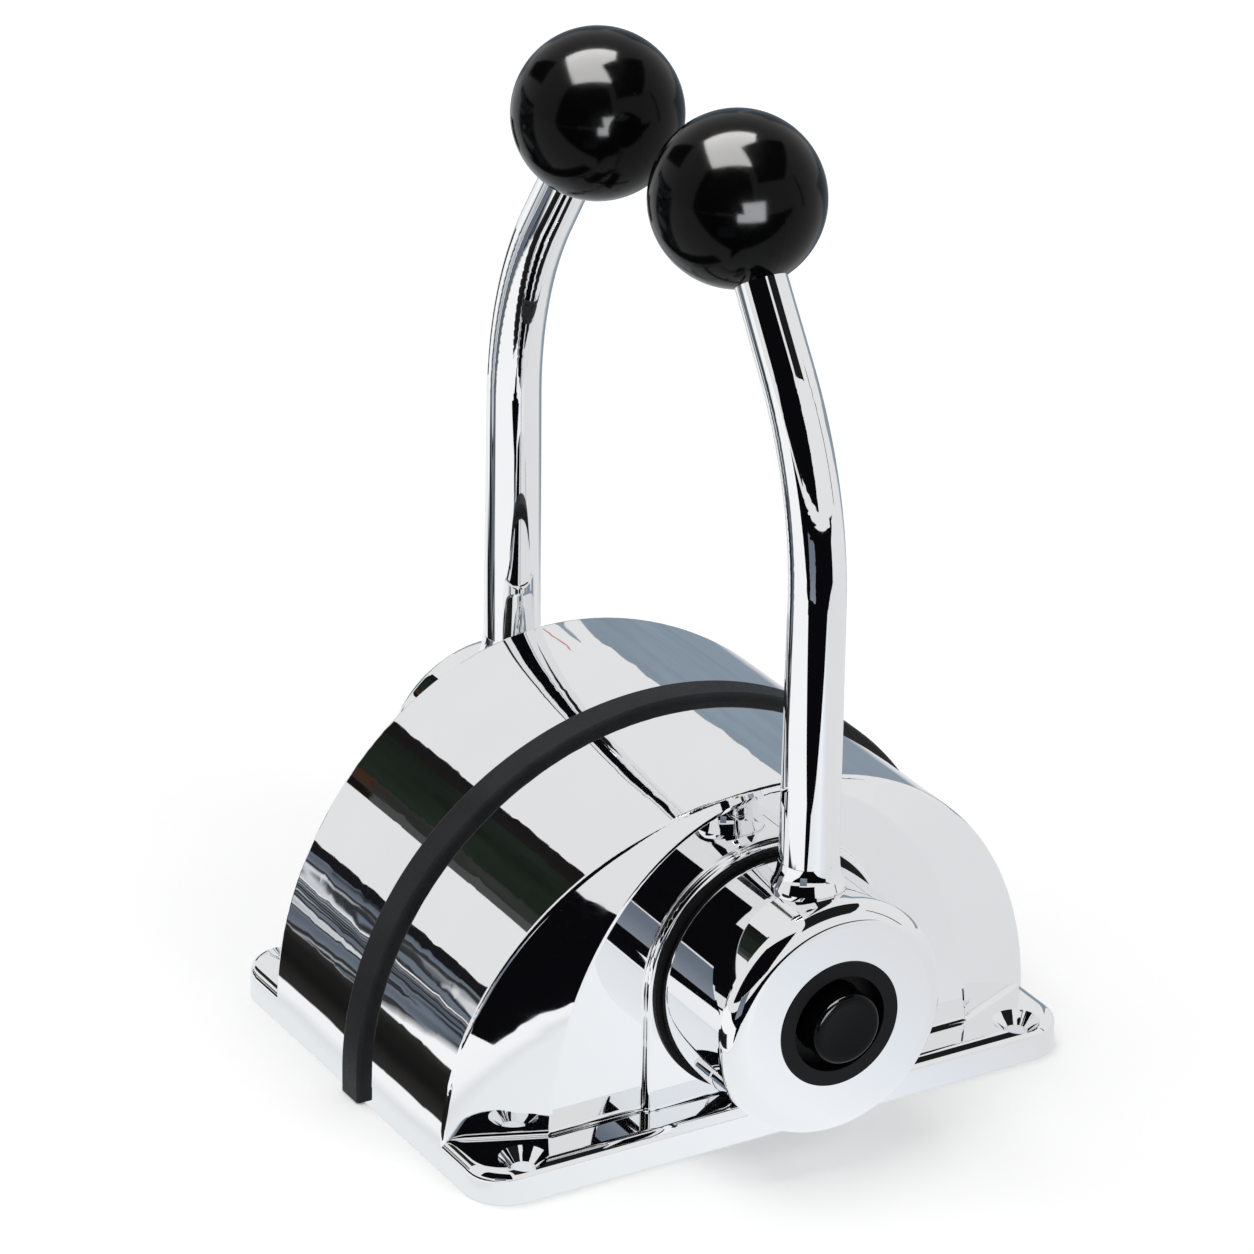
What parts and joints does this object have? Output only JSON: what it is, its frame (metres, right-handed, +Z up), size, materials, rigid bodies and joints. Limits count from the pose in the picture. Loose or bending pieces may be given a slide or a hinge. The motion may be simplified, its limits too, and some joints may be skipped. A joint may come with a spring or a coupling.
{
  "type": "boat throttle control lever",
  "caption": "Top-mounted boat throttle control: chromed drum on a base plate, with a bent lever, ball knob and push button on each side.",
  "frame": {"origin": "middle of the base's underside, where it stands on the helm", "axes": "+Z up, +Y towards the bow, +X to starboard along the lever shafts"},
  "size_m": [0.1912, 0.1786, 0.2631],
  "materials": {
    "polished_chrome": "mirror chrome plating over a casting",
    "gloss_black": "moulded and polished gloss black",
    "satin_black": "satin black moulding",
    "strip_rubber": "extruded dark grey rubber, slightly dusty",
    "black_rubber": "plain black rubber",
    "bearing_bronze": "turned bearing bronze",
    "plate_steel": "zinc plated sheet steel",
    "machined_steel": "machined stainless steel",
    "spring_steel": "drawn spring wire and pressed spring steel",
    "black_steel": "blackened screw steel",
    "brake_lining": "pressed brake lining",
    "sensor_plastic": "moulded glass-filled plastic",
    "gear_plastic": "natural acetal, cut teeth"
  },
  "bodies": {
    "control_head": {"starboard_housing": "polished_chrome", "starboard_shaft_seal": "black_rubber", "starboard_outer_bushing": "bearing_bronze", "starboard_bearing_plate": "plate_steel", "starboard_inner_bushing": "bearing_bronze", "starboard_position_sensor": "sensor_plastic", "starboard_warmup_switch": "sensor_plastic", "starboard_switch_bracket": "plate_steel", "starboard_stop_pin": "machined_steel", "starboard_friction_disc": "brake_lining", "starboard_detent_spring": "spring_steel", "port_housing": "polished_chrome", "port_shaft_seal": "black_rubber", "port_outer_bushing": "bearing_bronze", "port_bearing_plate": "plate_steel", "port_inner_bushing": "bearing_bronze", "port_position_sensor": "sensor_plastic", "port_warmup_switch": "sensor_plastic", "port_switch_bracket": "plate_steel", "port_stop_pin": "machined_steel", "port_friction_disc": "brake_lining", "port_detent_spring": "spring_steel", "centre_strip": "strip_rubber", "base_gasket": "black_rubber", "tie_bolts": "black_steel", "tie_nuts": "machined_steel"},
    "starboard_lever": {"starboard_shaft": "machined_steel", "starboard_drive_gear": "machined_steel", "starboard_detent_wheel": "machined_steel", "starboard_disc_spring": "spring_steel", "starboard_friction_nut": "machined_steel", "starboard_hub": "polished_chrome", "starboard_hub_screw": "black_steel", "starboard_lever_rod": "polished_chrome", "starboard_ball_knob": "gloss_black", "starboard_hub_bezel": "satin_black", "starboard_button_spring": "spring_steel"},
    "starboard_button": {"starboard_push_button": "gloss_black", "starboard_push_rod": "machined_steel"},
    "starboard_sensor": {"starboard_sensor_spindle": "machined_steel", "starboard_sensor_pinion": "gear_plastic"},
    "starboard_detent": {"starboard_detent_plunger": "machined_steel"},
    "port_lever": {"port_shaft": "machined_steel", "port_drive_gear": "machined_steel", "port_detent_wheel": "machined_steel", "port_disc_spring": "spring_steel", "port_friction_nut": "machined_steel", "port_hub": "polished_chrome", "port_hub_screw": "black_steel", "port_lever_rod": "polished_chrome", "port_ball_knob": "gloss_black", "port_hub_bezel": "satin_black", "port_button_spring": "spring_steel"},
    "port_button": {"port_push_button": "gloss_black", "port_push_rod": "machined_steel"},
    "port_sensor": {"port_sensor_spindle": "machined_steel", "port_sensor_pinion": "gear_plastic"},
    "port_detent": {"port_detent_plunger": "machined_steel"}
  },
  "joints": [
    {"name": "starboard_lever_swing", "type": "hinge", "parent": "control_head", "child": "starboard_lever", "pos_m": [0, 0, 0.0418], "axis": [1, 0, 0], "range_deg": [-80, 80]},
    {"name": "starboard_sensor_turn", "type": "hinge", "parent": "control_head", "child": "starboard_sensor", "pos_m": [0, 0.03, 0.0418], "axis": [1, 0, 0], "range_deg": [-160, 160]},
    {"name": "starboard_button_press", "type": "slide", "parent": "starboard_lever", "child": "starboard_button", "axis": [-1, 0, 0], "range_m": [0, 0.0038], "stiffness_N_per_m": 1500, "springref_m": -0.002, "deforming": ["starboard_button_spring"]},
    {"name": "starboard_detent_follow", "type": "slide", "parent": "control_head", "child": "starboard_detent", "axis": [0, 0, -1], "range_m": [0, 0.0018], "stiffness_N_per_m": 800, "springref_m": 0.004, "deforming": ["starboard_detent_spring"]},
    {"name": "port_lever_swing", "type": "hinge", "parent": "control_head", "child": "port_lever", "pos_m": [0, 0, 0.0418], "axis": [1, 0, 0], "range_deg": [-80, 80]},
    {"name": "port_sensor_turn", "type": "hinge", "parent": "control_head", "child": "port_sensor", "pos_m": [0, 0.03, 0.0418], "axis": [1, 0, 0], "range_deg": [-160, 160]},
    {"name": "port_button_press", "type": "slide", "parent": "port_lever", "child": "port_button", "axis": [1, 0, 0], "range_m": [0, 0.0038], "stiffness_N_per_m": 1500, "springref_m": -0.002, "deforming": ["port_button_spring"]},
    {"name": "port_detent_follow", "type": "slide", "parent": "control_head", "child": "port_detent", "axis": [0, 0, -1], "range_m": [0, 0.0018], "stiffness_N_per_m": 800, "springref_m": 0.004, "deforming": ["port_detent_spring"]}
  ],
  "couplings": [
    {"joint": "starboard_sensor_turn", "follows": "starboard_lever_swing", "ratio": -2},
    {"joint": "port_sensor_turn", "follows": "port_lever_swing", "ratio": -2}
  ]
}
